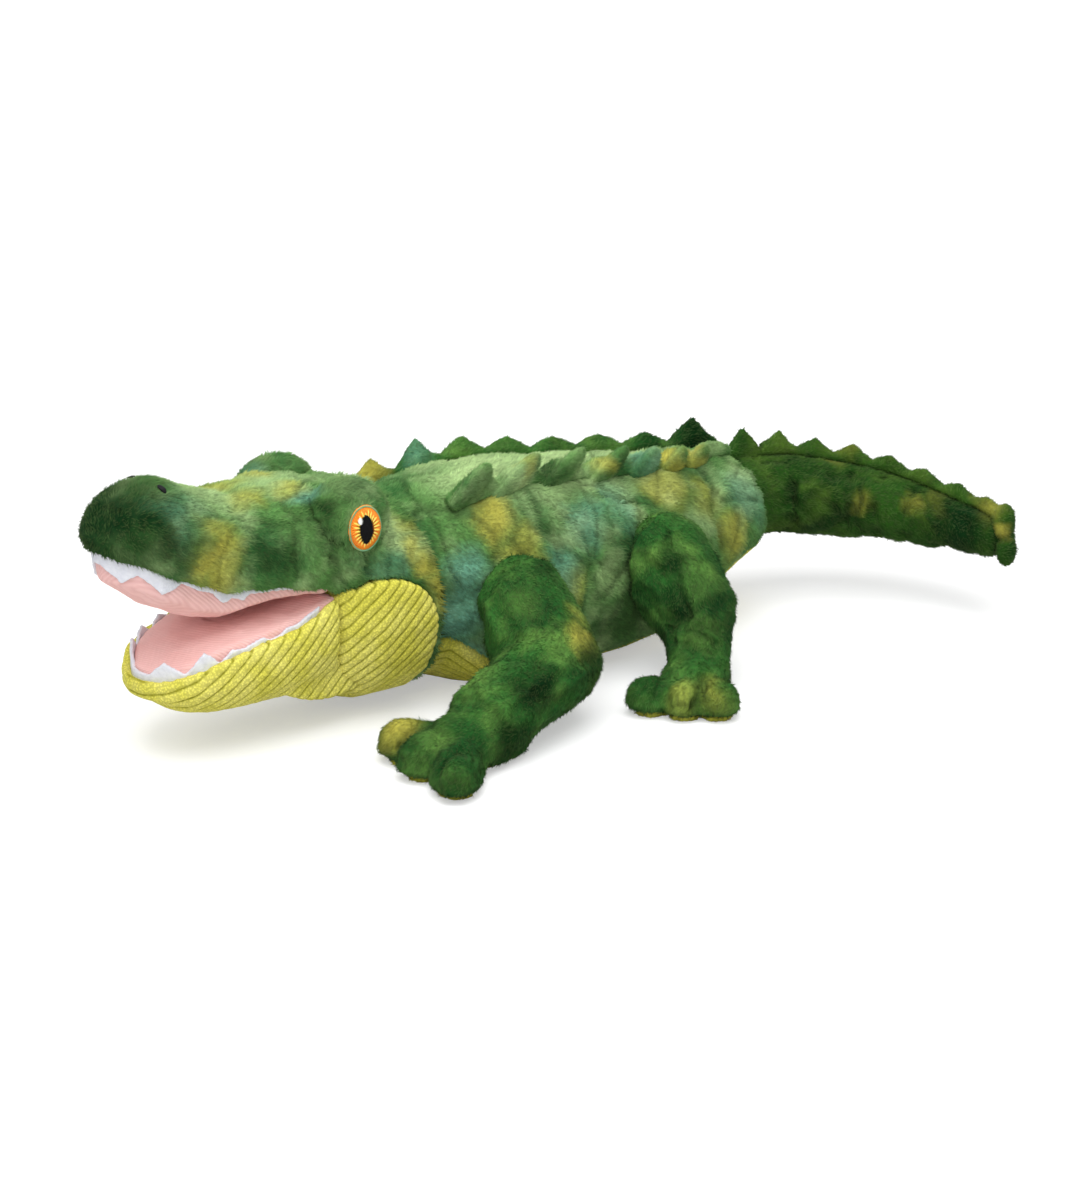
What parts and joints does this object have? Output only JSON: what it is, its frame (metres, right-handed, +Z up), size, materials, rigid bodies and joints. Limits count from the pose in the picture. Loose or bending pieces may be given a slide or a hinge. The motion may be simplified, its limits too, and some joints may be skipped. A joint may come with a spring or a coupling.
{
  "type": "stuffed toy crocodile",
  "caption": "Soft stuffed crocodile lying on its belly, with an open felt-toothed mouth, ridged back and curved tail.",
  "frame": {"origin": "middle of the outer box in plan, on the surface that the toy lies on", "axes": "+Z up, -X towards the snout, -Y towards the left side of the animal"},
  "size_m": [0.421, 0.2466, 0.1133],
  "materials": {
    "green_plush": "short pile, mottled green",
    "lime_plush": "short pile",
    "lime_corduroy": "ribbed corduroy",
    "white_felt": "matte felt",
    "pink_twill": "fine twill",
    "stuffing": "loose fibre filling",
    "eye_thread": "satin stitch embroidery",
    "black_thread": "satin stitch embroidery"
  },
  "bodies": {
    "torso": {"torso_cover": "green_plush", "belly_panel": "lime_corduroy", "torso_filling": "stuffing", "back_ridge_left": "green_plush", "back_ridge_right": "green_plush"},
    "head": {"head_cover": "green_plush", "head_filling": "stuffing", "cheek_panel": "lime_corduroy", "palate_lining": "pink_twill", "upper_teeth": "white_felt", "eye_mound_left": "green_plush", "eye_mound_right": "green_plush", "eye_left": "eye_thread", "eye_right": "eye_thread", "nostril_left": "black_thread", "nostril_right": "black_thread"},
    "lower_jaw": {"jaw_cover": "lime_corduroy", "jaw_filling": "stuffing", "mouth_floor_lining": "pink_twill", "lower_teeth": "white_felt"},
    "tail": {"tail_cover": "green_plush", "tail_filling": "stuffing", "tail_ridge": "green_plush"},
    "front_left_leg": {"front_left_leg": "green_plush", "front_left_leg_filling": "stuffing", "front_left_sole": "lime_plush"},
    "front_right_leg": {"front_right_leg": "green_plush", "front_right_leg_filling": "stuffing", "front_right_sole": "lime_plush"},
    "hind_left_leg": {"hind_left_leg": "green_plush", "hind_left_leg_filling": "stuffing", "hind_left_sole": "lime_plush"},
    "hind_right_leg": {"hind_right_leg": "green_plush", "hind_right_leg_filling": "stuffing", "hind_right_sole": "lime_plush"}
  },
  "joints": [
    {"name": "neck_turn", "type": "hinge", "parent": "torso", "child": "head", "pos_m": [-0.06695, 0, 0.048], "axis": [0, 0, 1], "range_deg": [-12, 12], "stiffness_Nm_per_rad": 0.15},
    {"name": "jaw_hinge", "type": "hinge", "parent": "head", "child": "lower_jaw", "pos_m": [-0.11795, 0, 0.058], "axis": [0, 1, 0], "range_deg": [0, 8], "stiffness_Nm_per_rad": 0.08},
    {"name": "tail_turn", "type": "hinge", "parent": "torso", "child": "tail", "pos_m": [0.12805, 0, 0.048], "axis": [0, 0, 1], "range_deg": [-12, 12], "stiffness_Nm_per_rad": 0.1},
    {"name": "front_left_leg_turn", "type": "hinge", "parent": "torso", "child": "front_left_leg", "pos_m": [-0.03895, -0.0475, 0.045], "axis": [0, 1, 0], "range_deg": [-15, 15], "stiffness_Nm_per_rad": 0.1},
    {"name": "front_right_leg_turn", "type": "hinge", "parent": "torso", "child": "front_right_leg", "pos_m": [-0.03895, 0.0475, 0.045], "axis": [0, 1, 0], "range_deg": [-15, 15], "stiffness_Nm_per_rad": 0.1},
    {"name": "hind_left_leg_turn", "type": "hinge", "parent": "torso", "child": "hind_left_leg", "pos_m": [0.04105, -0.0475, 0.047], "axis": [0, 1, 0], "range_deg": [-15, 15], "stiffness_Nm_per_rad": 0.1},
    {"name": "hind_right_leg_turn", "type": "hinge", "parent": "torso", "child": "hind_right_leg", "pos_m": [0.04105, 0.0475, 0.047], "axis": [0, 1, 0], "range_deg": [-15, 15], "stiffness_Nm_per_rad": 0.1}
  ]
}
